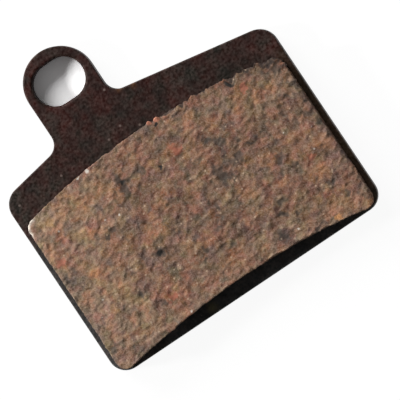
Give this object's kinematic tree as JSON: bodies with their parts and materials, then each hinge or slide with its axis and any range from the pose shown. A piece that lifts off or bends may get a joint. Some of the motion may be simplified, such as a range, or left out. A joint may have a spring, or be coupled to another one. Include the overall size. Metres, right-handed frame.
{
  "type": "bicycle disc brake pad",
  "caption": "Flat steel backing plate with sloping shoulders and an off-centre tab with an oval pin eye, carrying a bonded granular friction lining that grips a bicycle's brake rotor.",
  "frame": {"origin": "where the piston axis meets the back face of the backing plate, on the pad's centre line", "axes": "+Z out of the friction face, +Y towards the pin eye, +X across the pad to the right as seen from the friction side"},
  "size_m": [0.03, 0.0297, 0.004],
  "materials": {
    "painted_plate": "thin satin brown-black paint over shot-blasted steel",
    "friction_compound": "rough moulded resin compound with mineral grains and copper flakes"
  },
  "bodies": {
    "root": {"backing_plate": "painted_plate", "friction_lining": "friction_compound"}
  },
  "joints": []
}
